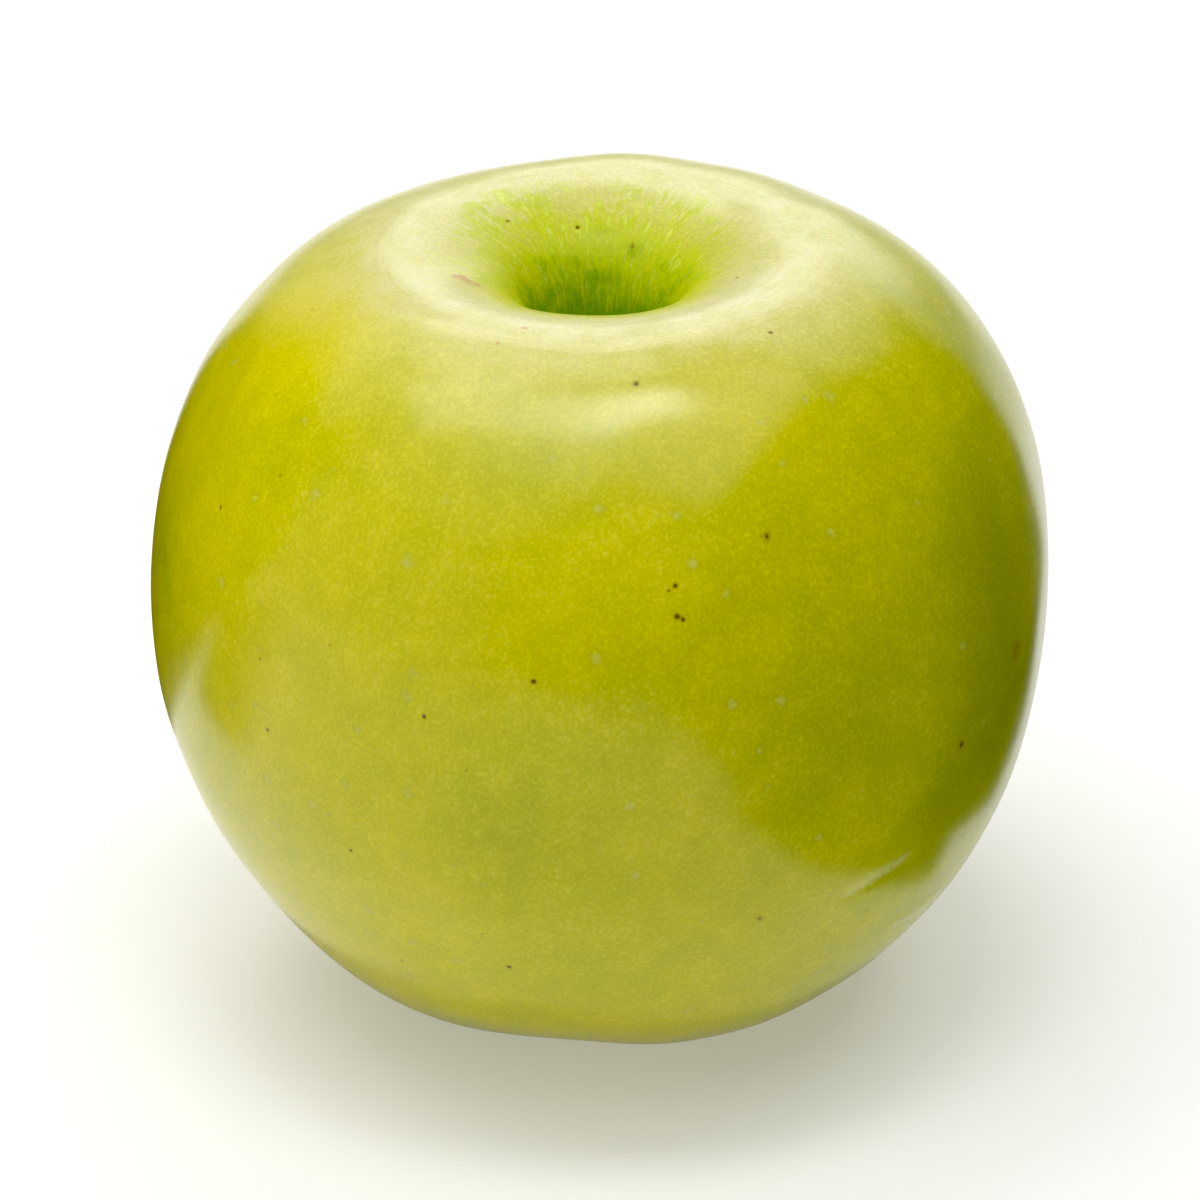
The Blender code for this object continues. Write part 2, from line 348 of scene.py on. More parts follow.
crease = along_line(grown, on_skin(*CREASE_ENDS[0]), on_skin(*CREASE_ENDS[1]), CREASE_HALF_WIDTH)
ridge = along_line(grown, on_skin(*RIDGE_ENDS[0]), on_skin(*RIDGE_ENDS[1]), RIDGE_HALF_WIDTH)
scar_place = on_skin(*SCAR_PIXEL)
scar = np.exp(-((np.linalg.norm(grown - scar_place, axis=-1) / SCAR_RADIUS) ** 2))
radius_now = np.hypot(grown[..., 0], grown[..., 1])
still = ease(grown[..., 2] / STILL_HEIGHT) * ease((radius_now - STILL_RADIUS) / STILL_HEIGHT)
relief = WAVE_HEIGHT * waves(grown, WAVE_COUNT, WAVE_LENGTHS, 11) * still
relief = relief - CREASE_DEPTH * crease + RIDGE_HEIGHT * ridge - SCAR_DEPTH * scar
skin_grid = grown + relief[..., None] * grid_normals(grown)
skin_grid[..., 2] = np.maximum(skin_grid[..., 2], 0)
print("relief: from", round(float(relief.min()) / MM, 2), "to", round(float(relief.max()) / MM, 2), "mm")


# %% Making a mesh from rings
def closed_parts(grid):
    """Points and faces of one closed body: its rings joined in order, and one point that closes each end."""
    rings, columns = grid.shape[:2]
    count = rings * columns
    points = np.vstack([grid.reshape(-1, 3), grid[0].mean(0), grid[-1].mean(0)])
    column = np.arange(columns)
    after = np.roll(column, -1)
    base = count - columns
    ends = np.vstack([
        np.stack([column, after, np.full(columns, count)], 1),
        np.stack([base + after, base + column, np.full(columns, count + 1)], 1),
    ])
    return points, ring_faces(rings, columns).tolist() + ends.tolist()


def smooth_mesh(name, points, corners):
    """A smoothly shaded mesh from points and the corners of its faces."""
    made = bpy.data.meshes.new(name)
    made.from_pydata(points.tolist(), [], corners)
    made.polygons.foreach_set("use_smooth", np.ones(len(made.polygons), bool))
    made.update()
    return made


def piece(name, mesh, finish, node):
    """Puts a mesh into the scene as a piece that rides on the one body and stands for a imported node."""
    made = bpy.data.objects.new(name, mesh)
    scene.collection.objects.link(made)
    made.data.materials.append(finish)
    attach(made, "root")
    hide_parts(node)


skin_mesh = smooth_mesh("apple_skin", *closed_parts(skin_grid))
print("skin:", len(skin_mesh.vertices), "points,", 2 * len(faces) + 2 * COLUMNS, "triangles")

# %% [markdown]
# ## Ripeness, with painted light and shade, as a value on every point
#
# The ground colour of a green apple runs from lime to yellow. The sun side turns yellow first, shade
# keeps it green, and the funnel stays deep green longest. Some patches on top of this are painted
# light and shade: the greener ones on the right flank and low on the right darken it, and a yellower
# one on the front right shoulder brightens it; the other patches are the skin's own colour. These
# changes are broad, so they are worked out once per point of the mesh and stored with it, where the
# material can read them. So are how deep a point lies in the funnel and in the basin, how near it is
# to the cream rim, which is partly painted sheen, and how far the skin has come from the stem.

# %% Ripeness, with painted light and shade
# Greener patches. Those on the right flank and low on the right are painted shade; the others are the skin's own
# colour.
GREENER_AND_SHADED = (
    ((1005, 600), 0.0090, 0.30),
    ((850, 740), 0.0090, 0.22),
    ((500, 850), 0.0070, 0.15),
    ((165, 560), 0.0060, 0.40),
    ((640, 690), 0.0050, 0.08),
    ((560, 465), 0.0050, 0.12),
    ((930, 830), 0.0070, 0.22),
    ((990, 730), 0.0075, 0.26),
    ((980, 480), 0.0075, 0.18),
)
# Yellower patches. The one on the front right shoulder is painted light; the others are the skin's own colour.
YELLOWER_AND_LIT = (
    ((315, 330), 0.0080, 0.60),
    ((300, 560), 0.0080, 0.25),
    ((770, 440), 0.0080, 0.28),
    ((620, 560), 0.0070, 0.20),
    ((260, 720), 0.0080, 0.20),
)
SUN_SIDE = 0.18
SUN_WAVES = 0.05
FUNNEL_TOP = CROWN_HEIGHT - 0.0006
FUNNEL_EDGE = 0.0165
FAR_SHIFT = 0.04
FAR_FROM = 0.010
BASIN_EDGE = 0.020
BASIN_FADE = 0.012
UNDER_TO = 0.3 * CROWN_HEIGHT
RIM_RADIUS = 0.0170
RIM_WIDTH = 0.0066
RIM_FROM = 0.8 * CROWN_HEIGHT


def patches(points, places):
    """The sum of soft round patches: each a strength times a bell of its radius, at a photographed place."""
    total = np.zeros(points.shape[:-1])
    for pixel, reach, strength in places:
        away = np.linalg.norm(points - on_skin(*pixel), axis=-1)
        total += strength * np.exp(-((away / reach) ** 2))
    return total


def store(mesh, name, values):
    """Keeps one value for each point of a mesh, with the mean of each end ring on its closing point."""
    flat = np.concatenate([values.ravel(), [values[0].mean(), values[-1].mean()]])
    mesh.attributes.new(name, "FLOAT", "POINT").data.foreach_set("value", flat.astype(np.float32))


across, depth, tall = np.moveaxis(skin_grid, -1, 0)
from_core = np.hypot(across, depth)
sunny = 0.5 - SUN_SIDE * across / HALF + SUN_WAVES * waves(skin_grid, 40, (0.014, 0.045), 3)
ripeness_and_painted_light = sunny - patches(skin_grid, GREENER_AND_SHADED) + patches(skin_grid, YELLOWER_AND_LIT)
store(skin_mesh, "ripeness_and_painted_light", np.clip(ripeness_and_painted_light, 0, 1))

depth_in = (FUNNEL_TOP - tall) / CAVITY_DEPTH
in_funnel = np.where(from_core < FUNNEL_EDGE, depth_in, 0)
in_funnel = in_funnel + FAR_SHIFT * ease(in_funnel / FAR_SHIFT) * ease(depth / FAR_FROM)
in_funnel = np.where(tall > CROWN_HEIGHT / 2, in_funnel, 0)
store(skin_mesh, "funnel", np.clip(in_funnel, 0, 1))

depth_under = ease((BASIN_EDGE - from_core) / BASIN_FADE)
store(skin_mesh, "basin", np.where(tall < UNDER_TO, depth_under, 0))
# The ring where the cream bloom and the painted sheen of the rim lie.
pale_ring = np.exp(-(((from_core - RIM_RADIUS) / RIM_WIDTH) ** 2))
store(skin_mesh, "rim", np.where(tall > RIM_FROM, pale_ring, 0))

steps = np.linalg.norm(np.diff(skin_grid, axis=0), axis=-1)
travel = np.concatenate([np.zeros((1, COLUMNS)), np.cumsum(steps, 0)]) / MM
store(skin_mesh, "travel", travel)
store(skin_mesh, "scar", scar)
store(skin_mesh, "pressed", np.maximum(crease, ridge))
print("ripeness: mean", round(float(ripeness_and_painted_light.mean()), 2), "funnel points", int((in_funnel > 0).sum()))


# %% [markdown]
# ## Colours and nodes
#
# Colours are written as the hex values that a screen shows and turned to the linear values that the
# renderer adds up. One function adds a node: its settings, then its inputs, each a value or the
# output of an earlier node. Inputs go in by name, or as a list in the order in which the node shows
# them. The settings that come up again and again have short names.

# %% Colour and node helpers
def linear(colour):
    """An sRGB hex colour as linear red, green and blue, with 1 for alpha."""
    shares = [int(colour[place:place + 2], 16) / 255 for place in (1, 3, 5)]
    return tuple(s / 12.92 if s <= 0.04045 else ((s + 0.055) / 1.055) ** 2.4 for s in shares) + (1.0,)


def new_material(name):
    """A new material with its node tree and its shader."""
    made = bpy.data.materials.new(name)
    made.use_nodes = True
    return made, made.node_tree, made.node_tree.nodes["Principled BSDF"]


def add(tree, kind, settings=None, inputs=()):
    """Adds a node of a kind, sets its settings, and fills its open inputs, by name or in their order."""
    made = tree.nodes.new(kind)
    for name, value in (settings or {}).items():
        setattr(made, name, value)
    shown = [socket for socket in made.inputs if socket.enabled]
    for name, value in inputs.items() if isinstance(inputs, dict) else enumerate(inputs):
        socket = made.inputs[name] if isinstance(name, str) else shown[name]
        if isinstance(value, bpy.types.Node):
            value = next(output for output in value.outputs if output.enabled)
        if isinstance(value, bpy.types.NodeSocket):
            tree.links.new(value, socket)
        else:
            socket.default_value = value
    return made


STEP = {"interpolation_type": "SMOOTHSTEP"}
LAYER = {"data_type": "RGBA"}
TIMES = {"operation": "MULTIPLY"}
PLUS = {"operation": "ADD"}
TIMES_PLUS = {"operation": "MULTIPLY_ADD"}
SCALED = {"operation": "SCALE"}

# %% [markdown]
# ## The skin
#
# Apple skin is a layer of tiny cells under a thin natural wax. The colour sits in the cells, so it is
# soft and cloudy: a ground of lime to yellow, pale flecks that gather in patches, and lenticels, the
# breathing pores, which are pale dots of half a millimetre with a greener ring. The wax gives a clear
# gloss with soft edges. Each layer below is one of these things at its real size.

# %% Skin colours and sizes
PAINTED_SHADE = "#868e05"
LIME = "#a4ad02"
GOLD = "#d3c703"
FUNNEL_GREEN = "#6c9800"
FUNNEL_LIME = "#b7c126"
CREAM_AND_SHEEN = "#d4d092"
CORK = "#d9de6e"
MOTTLE = "#d8d444"
PORE = "#d2d083"
PORE_RING = "#8d9a08"
SPECK = "#47300a"
SPECK_RIM = "#96800c"
RUSSET = "#b67a3e"
TAN = "#c4ad52"

CLOUD_SIZE = 13.0
BLOTCH_SIZE = 3.2
MOTTLE_SIZE = 0.80
GRAIN_SIZE = 0.34
PORE_SPACING = 3.9
PORE_RADIUS = 0.36
DOT_SPACING = 5.0
DOT_RADIUS = 0.13

DARK_MARKS = (
    (767, 537, 0.36), (675, 586, 0.25), (669, 591, 0.16), (677, 617, 0.25), (683, 620, 0.18),
    (533, 682, 0.22), (267, 730, 0.20), (962, 744, 0.42), (760, 919, 0.30), (867, 911, 0.22),
    (636, 384, 0.24), (578, 226, 0.22), (632, 245, 0.22), (771, 332, 0.22), (737, 278, 0.20),
    (260, 659, 0.18), (221, 507, 0.18), (280, 475, 0.18), (424, 717, 0.18), (509, 967, 0.20),
    (403, 960, 0.18), (483, 934, 0.16), (351, 851, 0.16), (508, 220, 0.16),
)
RUSSET_MARKS = (
    (457, 276, 0.50), (463, 278, 0.85), (469, 281, 0.85), (475, 284, 0.55), (524, 328, 0.26), (498, 343, 0.20),
)

# %% [markdown]
# ### Coordinates for the skin
#
# The noise reads the object's own coordinates in millimetres. Streaks run from the stem outwards, so
# they read the direction round the core, a unit vector that has no seam, and how far the skin has
# travelled from the stem, which is stored on the mesh.

# %% Skin coordinates
skin, tree_s, shader = new_material("waxed_apple_skin")
place = add(tree_s, "ShaderNodeTexCoord").outputs["Object"]
in_mm = add(tree_s, "ShaderNodeVectorMath", SCALED, [place, 1 / MM])
flat = add(tree_s, "ShaderNodeVectorMath", TIMES, [in_mm, (1, 1, 0)])
around = add(tree_s, "ShaderNodeVectorMath", {"operation": "NORMALIZE"}, [flat])
ripeness_and_light_here, funnel_here, basin_here, rim_here, travel_here, pressed_highlight_here, scar_here = [
    add(tree_s, "ShaderNodeAttribute", {"attribute_name": name}).outputs["Fac"]
    for name in ("ripeness_and_painted_light", "funnel", "basin", "rim", "travel", "pressed", "scar")
]

# %% [markdown]
# ### The ground colour
#
# Ripeness from the mesh is shaken by clouds and blotches, so that the yellow never has a clean edge.
# Where it is lowest a third colour, a darker olive, comes in later, over the mottle. It is painted
# shade that darkens the right flank, laid over the deeper green that a shaded side grows.

# %% Ground colour
clouds = add(tree_s, "ShaderNodeTexNoise", {}, {
    "Vector": in_mm, "Scale": 1 / CLOUD_SIZE, "Detail": 2.0, "Roughness": 0.6,
})
blotches = add(tree_s, "ShaderNodeTexNoise", {}, {
    "Vector": in_mm, "Scale": 1 / BLOTCH_SIZE, "Detail": 2.0, "Roughness": 0.65,
})
cloud_part = add(tree_s, "ShaderNodeMath", TIMES_PLUS, [clouds, 0.26, -0.13])
blotch_part = add(tree_s, "ShaderNodeMath", TIMES_PLUS, [blotches, 0.6, -0.3])
shaken = add(tree_s, "ShaderNodeMath", PLUS, [ripeness_and_light_here, cloud_part])
shaken = add(tree_s, "ShaderNodeMath", {"operation": "ADD", "use_clamp": True}, [shaken, blotch_part])
ground = add(tree_s, "ShaderNodeMix", LAYER, [shaken, linear(LIME), linear(GOLD)])
# Painted shade goes where this value is lowest: the value from the mesh, shaken by the clouds alone.
painted_shade = add(tree_s, "ShaderNodeMath", TIMES_PLUS, [cloud_part, 0.7, ripeness_and_light_here])

# %% [markdown]
# ### Mottle
#
# Close up the skin is peppered with pale cells, half a millimetre wide, that gather in patches. The
# points of a Voronoi pattern give the cells, and the blotches say where they gather.

# %% Mottle
mottle = add(tree_s, "ShaderNodeTexVoronoi", {}, {"Vector": in_mm, "Scale": 1 / MOTTLE_SIZE, "Randomness": 1.0})
grain = add(tree_s, "ShaderNodeTexNoise", {}, {
    "Vector": in_mm, "Scale": 1 / GRAIN_SIZE, "Detail": 1.0, "Roughness": 0.6,
})
mottle_mask = add(tree_s, "ShaderNodeMapRange", STEP, [mottle, 0.62, 0.10, 0.0, 0.30])
gathered = add(tree_s, "ShaderNodeMapRange", STEP, [blotches, 0.40, 0.66, 0.10, 1.0])
mottle_mask = add(tree_s, "ShaderNodeMath", TIMES, [mottle_mask, gathered])
ground = add(tree_s, "ShaderNodeMix", LAYER, [mottle_mask, ground, linear(MOTTLE)])
grain_mask = add(tree_s, "ShaderNodeMapRange", STEP, [grain, 0.50, 0.72, 0.0, 0.19])
ground = add(tree_s, "ShaderNodeMix", LAYER, [grain_mask, ground, linear(MOTTLE)])
# Painted shade: the darker olive over the right flank, laid on after the mottle.
painted_shade = add(tree_s, "ShaderNodeMapRange", STEP, [painted_shade, 0.42, -0.14, 0.0, 0.8])
ground = add(tree_s, "ShaderNodeMix", LAYER, [painted_shade, ground, linear(PAINTED_SHADE)])

# %% [markdown]
# ### The funnel and its rim
#
# Shade keeps the funnel green, and the green deepens towards the stem. The rim round it is a cream
# ring, partly a bloom of cork on the skin and partly painted sheen, the pale reflection that the crown
# takes from the room. Thin pale streaks of cork fan out of the funnel. They are noise on the direction
# round the core, which makes them radial and lets them widen outwards. The same two coordinates,
# stretched the other way, give the fine growth rings of the lip.

# %% Streaks and rings
STREAKS_ROUND = 20.0
STREAK_LENGTH = 2.8
RINGS_ROUND = 2.5
RING_WIDTH = 0.60

streak_way = add(tree_s, "ShaderNodeVectorMath", SCALED, [around, STREAKS_ROUND])
streak_along = add(tree_s, "ShaderNodeMath", {"operation": "DIVIDE"}, [travel_here, STREAK_LENGTH])
streak_up = add(tree_s, "ShaderNodeCombineXYZ", {}, {"Z": streak_along})
streak_at = add(tree_s, "ShaderNodeVectorMath", PLUS, [streak_way, streak_up])
streaks = add(tree_s, "ShaderNodeTexNoise", {}, {
    "Vector": streak_at, "Scale": 1.0, "Detail": 3.0, "Roughness": 0.75,
})
ring_way = add(tree_s, "ShaderNodeVectorMath", SCALED, [around, RINGS_ROUND])
ring_along = add(tree_s, "ShaderNodeMath", {"operation": "DIVIDE"}, [travel_here, RING_WIDTH])
ring_up = add(tree_s, "ShaderNodeCombineXYZ", {}, {"Z": ring_along})
ring_at = add(tree_s, "ShaderNodeVectorMath", PLUS, [ring_way, ring_up])
rings = add(tree_s, "ShaderNodeTexNoise", {}, {
    "Vector": ring_at, "Scale": 1.0, "Detail": 1.0, "Roughness": 0.6,
})

# %% Funnel
patchy = add(tree_s, "ShaderNodeMath", TIMES_PLUS, [blotches, 0.5, -0.55])
patchy = add(tree_s, "ShaderNodeMath", TIMES_PLUS, [streaks, 0.6, patchy])
inside = add(tree_s, "ShaderNodeMapRange", STEP, [funnel_here, 0.0, 0.12])
uneven = add(tree_s, "ShaderNodeMath", TIMES_PLUS, [patchy, inside, funnel_here])
enters = add(tree_s, "ShaderNodeMapRange", STEP, [uneven, 0.035, 0.175])
# The cream ring: a bloom of cork on the skin and painted sheen round the crown.
cream_and_sheen_noise = add(tree_s, "ShaderNodeMapRange", STEP, [blotches, 0.30, 0.62, 0.62, 0.95])
cream_and_sheen_share = add(tree_s, "ShaderNodeMath", TIMES, [rim_here, cream_and_sheen_noise])
ground = add(tree_s, "ShaderNodeMix", LAYER, [cream_and_sheen_share, ground, linear(CREAM_AND_SHEEN)])
ring_lines = add(tree_s, "ShaderNodeMapRange", STEP, [rings, 0.52, 0.70, 0.0, 0.26])
ring_share = add(tree_s, "ShaderNodeMath", TIMES, [ring_lines, rim_here])
ground = add(tree_s, "ShaderNodeMix", LAYER, [ring_share, ground, linear(TAN)])
ground = add(tree_s, "ShaderNodeMix", LAYER, [enters, ground, linear(FUNNEL_LIME)])
deepens = add(tree_s, "ShaderNodeMapRange", STEP, [uneven, 0.18, 0.47])
ground = add(tree_s, "ShaderNodeMix", LAYER, [deepens, ground, linear(FUNNEL_GREEN)])
cork = add(tree_s, "ShaderNodeMapRange", STEP, [streaks, 0.55, 0.68, 0.0, 0.62])
funnel_zone = add(tree_s, "ShaderNodeMapRange", STEP, [funnel_here, 0.0, 0.10, 0.15, 1.0])
crown_zone = add(tree_s, "ShaderNodeMapRange", STEP, [travel_here, 40.0, 25.0])
shallow = add(tree_s, "ShaderNodeMapRange", STEP, [funnel_here, 0.50, 0.25, 0.25, 1.0])
cork = add(tree_s, "ShaderNodeMath", TIMES, [cork, funnel_zone])
cork = add(tree_s, "ShaderNodeMath", TIMES, [cork, crown_zone])
cork = add(tree_s, "ShaderNodeMath", TIMES, [cork, shallow])
ground = add(tree_s, "ShaderNodeMix", LAYER, [cork, ground, linear(CORK)])

# %% [markdown]
# ### Lenticels and specks
#
# The pores are the points of a Voronoi pattern. Each cell's own random colour sets how big its pore
# is, and the mottle frays its edge. A second, wider pattern gives tiny brown dots.

# %% Lenticels
frayed = add(tree_s, "ShaderNodeMath", TIMES_PLUS, [mottle, 1.4, -0.6])
pores = add(tree_s, "ShaderNodeTexVoronoi", {}, {"Vector": in_mm, "Scale": 1 / PORE_SPACING, "Randomness": 1.0})
pore_size = add(tree_s, "ShaderNodeSeparateColor", {}, [pores.outputs["Color"]])
pore_size = add(tree_s, "ShaderNodeMath", TIMES_PLUS, [pore_size, 0.9 * PORE_RADIUS, 0.35 * PORE_RADIUS])
pore_mm = add(tree_s, "ShaderNodeMath", TIMES, [pores.outputs["Distance"], PORE_SPACING])
pore_share = add(tree_s, "ShaderNodeMath", {"operation": "DIVIDE"}, [pore_mm, pore_size])
pore_share = add(tree_s, "ShaderNodeMath", PLUS, [pore_share, frayed])
outside = add(tree_s, "ShaderNodeMath", {"operation": "SUBTRACT", "use_clamp": True}, [1.0, enters])
pore_ring = add(tree_s, "ShaderNodeMapRange", STEP, [pore_share, 2.6, 1.2, 0.0, 0.14])
pore_ring = add(tree_s, "ShaderNodeMath", TIMES, [pore_ring, outside])
ground = add(tree_s, "ShaderNodeMix", LAYER, [pore_ring, ground, linear(PORE_RING)])
pore_dot = add(tree_s, "ShaderNodeMapRange", STEP, [pore_share, 1.9, -0.2, 0.0, 0.32])
pore_dot = add(tree_s, "ShaderNodeMath", TIMES, [pore_dot, outside])
ground = add(tree_s, "ShaderNodeMix", LAYER, [pore_dot, ground, linear(PORE)])

# %% Specks all over
dots = add(tree_s, "ShaderNodeTexVoronoi", {}, {"Vector": in_mm, "Scale": 1 / DOT_SPACING, "Randomness": 1.0})
dot_mm = add(tree_s, "ShaderNodeMath", TIMES, [dots, DOT_SPACING])
dot_mask = add(tree_s, "ShaderNodeMapRange", STEP, [dot_mm, 1.7 * DOT_RADIUS, 0.5 * DOT_RADIUS, 0.0, 0.6])
ground = add(tree_s, "ShaderNodeMix", LAYER, [dot_mask, ground, linear(SPECK_RIM)])

# %% [markdown]
# ### The marks of this fruit
#
# The darkest specks are old rain spots and insect pricks. Each has a place on the skin, found through
# the camera. The shader asks how far away the nearest one is, as a share of its radius, and the
# mottle makes their edges ragged. The brown graze beside the funnel is a row of the same with russet.
# The crease, the ridge and the scar were stored on the mesh with their relief. A painted highlight in
# cream follows the first two, and brown cork has closed the scar.


# %% Marks
def nearest_mark(marks):
    """How far the nearest mark is, as a share of its own radius, frayed by the mottle's noise."""
    nearest = None
    for across, down, size in marks:
        spot = tuple(on_skin(across, down) / MM)
        far = add(tree_s, "ShaderNodeVectorMath", {"operation": "DISTANCE"}, [in_mm, spot]).outputs["Value"]
        share = add(tree_s, "ShaderNodeMath", {"operation": "DIVIDE"}, [far, size])
        if nearest is not None:
            share = add(tree_s, "ShaderNodeMath", {"operation": "MINIMUM"}, [nearest, share])
        nearest = share
    return add(tree_s, "ShaderNodeMath", PLUS, [nearest, frayed])


dark_far = nearest_mark(DARK_MARKS)
russet_far = nearest_mark(RUSSET_MARKS)
healed = add(tree_s, "ShaderNodeMath", TIMES_PLUS, [mottle, -0.5, scar_here])
for far, edge_at, core_at, most, colour in (
    # Painted highlight: cream along the crease and the ridge.
    (pressed_highlight_here, 0.35, 0.95, 0.42, CREAM_AND_SHEEN),
    (healed, 0.10, 0.40, 0.75, SPECK_RIM),
    (dark_far, 2.0, 0.9, 0.5, SPECK_RIM),
    (dark_far, 1.15, 0.45, 0.85, SPECK),
    (russet_far, 1.5, 0.3, 0.65, RUSSET),
):
    mask = add(tree_s, "ShaderNodeMapRange", STEP, [far, edge_at, core_at, 0.0, most])
    ground = add(tree_s, "ShaderNodeMix", LAYER, [mask, ground, linear(colour)])
print("marks:", len(DARK_MARKS), "specks and", len(RUSSET_MARKS), "of russet")

# %% [markdown]
# ### Grain, gloss and wax
#
# The last layer is the grain of the cells themselves, a third of a millimetre, in both colour and
# height. The wax is the shader's coat. It is clearer than the skin under it, so that a highlight has
# a soft body with a crisper edge.

# %% Grain, gloss and wax
grain_tone = add(tree_s, "ShaderNodeMapRange", {}, [grain, 0.3, 0.7, 0.93, 1.07])
# Painted shade: the colour is an eighth darker deep in the basin under the fruit.
basin_shade = add(tree_s, "ShaderNodeMath", TIMES_PLUS, [basin_here, -0.12, 1.0])
tone = add(tree_s, "ShaderNodeMath", TIMES, [grain_tone, basin_shade])
skin_colour = add(tree_s, "ShaderNodeVectorMath", SCALED, [ground, tone])
gloss = add(tree_s, "ShaderNodeMapRange", {}, [blotches, 0.3, 0.7, 0.40, 0.50])
wax = add(tree_s, "ShaderNodeMapRange", STEP, [funnel_here, 0.05, 0.16, 1.0, 0.10])

bump_height = add(tree_s, "ShaderNodeMath", TIMES, [grain, 0.010])
bump_height = add(tree_s, "ShaderNodeMath", TIMES_PLUS, [blotches, 0.05, bump_height])
streak_relief = add(tree_s, "ShaderNodeMath", TIMES, [streaks, funnel_zone])
bump_height = add(tree_s, "ShaderNodeMath", TIMES_PLUS, [streak_relief, 0.05, bump_height])
bump = add(tree_s, "ShaderNodeBump", {}, {"Height": bump_height, "Strength": 1.0, "Distance": MM})

tree_s.links.new(skin_colour.outputs[0], shader.inputs["Base Color"])
tree_s.links.new(gloss.outputs[0], shader.inputs["Roughness"])
tree_s.links.new(wax.outputs[0], shader.inputs["Coat Weight"])
tree_s.links.new(bump.outputs["Normal"], shader.inputs["Normal"])
shader.inputs["IOR"].default_value = 1.42
shader.inputs["Specular IOR Level"].default_value = 0.10
shader.inputs["Coat Roughness"].default_value = 0.22
shader.inputs["Coat IOR"].default_value = 1.44

piece("apple_skin", skin_mesh, skin, "fruit")

# %% [markdown]
# ## The stem stub
#
# The stalk broke off short inside the funnel. It is a woody cord a little over two millimetres thick,
# ridged along its length, wider where it meets the flesh and frayed where it broke. It is a circle
# carried up a leaning line, with ridges as cosines of the angle round it.

# %% Stem
STEM_FOOT = FUNNEL_FLOOR - 0.0012
STEM_TOP = 0.0614
STEM_RINGS = 46
STEM_COLUMNS = 48
STEM_LEAN = 0.0013
STEM_RIDGE = 0.07
ROOT_FLARE = 0.75
BREAK_FLARE = 0.22
BREAK_DEPTH = 0.0007
SPLINTER = 0.0004

up = np.linspace(0, 1, STEM_RINGS)[:, None]
turn = np.linspace(0, math.tau, STEM_COLUMNS, endpoint=False)[None, :]
ridges = STEM_RIDGE * (
    np.cos(7 * turn + 1.5 * up) + 0.6 * np.cos(11 * turn - 2.2 * up + 1.0) + 0.4 * np.cos(3 * turn + 4.0 * up)
)
flare = 0.92 + ROOT_FLARE * np.exp(-((up / 0.16) ** 2)) + BREAK_FLARE * ease((up - 0.78) / 0.22)
girth = STEM_RADIUS * flare * (1 + ridges)
lean = STEM_LEAN * up**2
splinter = SPLINTER * (0.5 * np.cos(5 * turn + 0.6) + 0.5 * np.cos(13 * turn)) * ease((up - 0.9) / 0.1)
wall = np.stack([
    lean + girth * np.cos(turn),
    0.25 * lean + girth * np.sin(turn),
    STEM_FOOT + (STEM_TOP - SPLINTER - STEM_FOOT) * up + splinter + 0 * turn,
], -1)
rim_centre = wall[-1].mean(0)
inward = np.array([0.82, 0.55, 0.25])[:, None, None]
cap = rim_centre + (wall[-1] - rim_centre) * inward
cap[..., 2] -= BREAK_DEPTH * np.array([0.35, 0.75, 1.0])[:, None]
stem_grid = np.concatenate([wall, cap])[::-1] - shift
stem_mesh = smooth_mesh("stem_stub_bark", *closed_parts(stem_grid))
print("stem: top at", round(float(stem_grid[..., 2].max()) / MM, 2), "mm,", len(stem_mesh.vertices), "points")

# %% [markdown]
# ### Bark
#
# Dry stalk is dull brown wood fibre, greener towards the fruit, with pale raw wood where it broke.

# %% Stem finish
BARK_DARK = "#3e2a14"
BARK_LIGHT = "#7d5c31"
STALK_GREEN = "#66701c"
RAW_WOOD = "#b39565"

bark, tree_b, bark_shader = new_material("dry_stalk")
bark_place = add(tree_b, "ShaderNodeTexCoord").outputs["Object"]
bark_mm = add(tree_b, "ShaderNodeVectorMath", SCALED, [bark_place, 1 / MM])
fibre_at = add(tree_b, "ShaderNodeVectorMath", TIMES, [bark_mm, (1, 1, 0.12)])
fibres = add(tree_b, "ShaderNodeTexNoise", {}, {
    "Vector": fibre_at, "Scale": 3.5, "Detail": 4.0, "Roughness": 0.7,
})
bark_height = add(tree_b, "ShaderNodeSeparateXYZ", {}, [bark_mm]).outputs["Z"]
near_fruit = add(tree_b, "ShaderNodeMapRange", STEP, [bark_height, 57.0, 51.0])
broken = add(tree_b, "ShaderNodeMapRange", STEP, [bark_height, 60.7, 61.1])
bark_tone = add(tree_b, "ShaderNodeMix", LAYER, [fibres, linear(BARK_DARK), linear(BARK_LIGHT)])
bark_tone = add(tree_b, "ShaderNodeMix", LAYER, [near_fruit, bark_tone, linear(STALK_GREEN)])
bark_tone = add(tree_b, "ShaderNodeMix", LAYER, [broken, bark_tone, linear(RAW_WOOD)])
tree_b.links.new(bark_tone.outputs["Result"], bark_shader.inputs["Base Color"])
bark_shader.inputs["Roughness"].default_value = 0.82
bark_bump = add(tree_b, "ShaderNodeBump", {}, {"Height": fibres, "Strength": 0.6, "Distance": 0.15 * MM})
tree_b.links.new(bark_bump.outputs["Normal"], bark_shader.inputs["Normal"])
piece("stem_stub_bark", stem_mesh, bark, "stem_stub")

# %% [markdown]
# ## The calyx
#
# Five sepals and a tuft of stamens are what is left of the flower. They dried to brown paper in the
# basin: the blades lean together over the opening and curl back at their tips. A sepal is a grid bent
# by formulas and given a thin wall. A stamen is a thread with a small head.

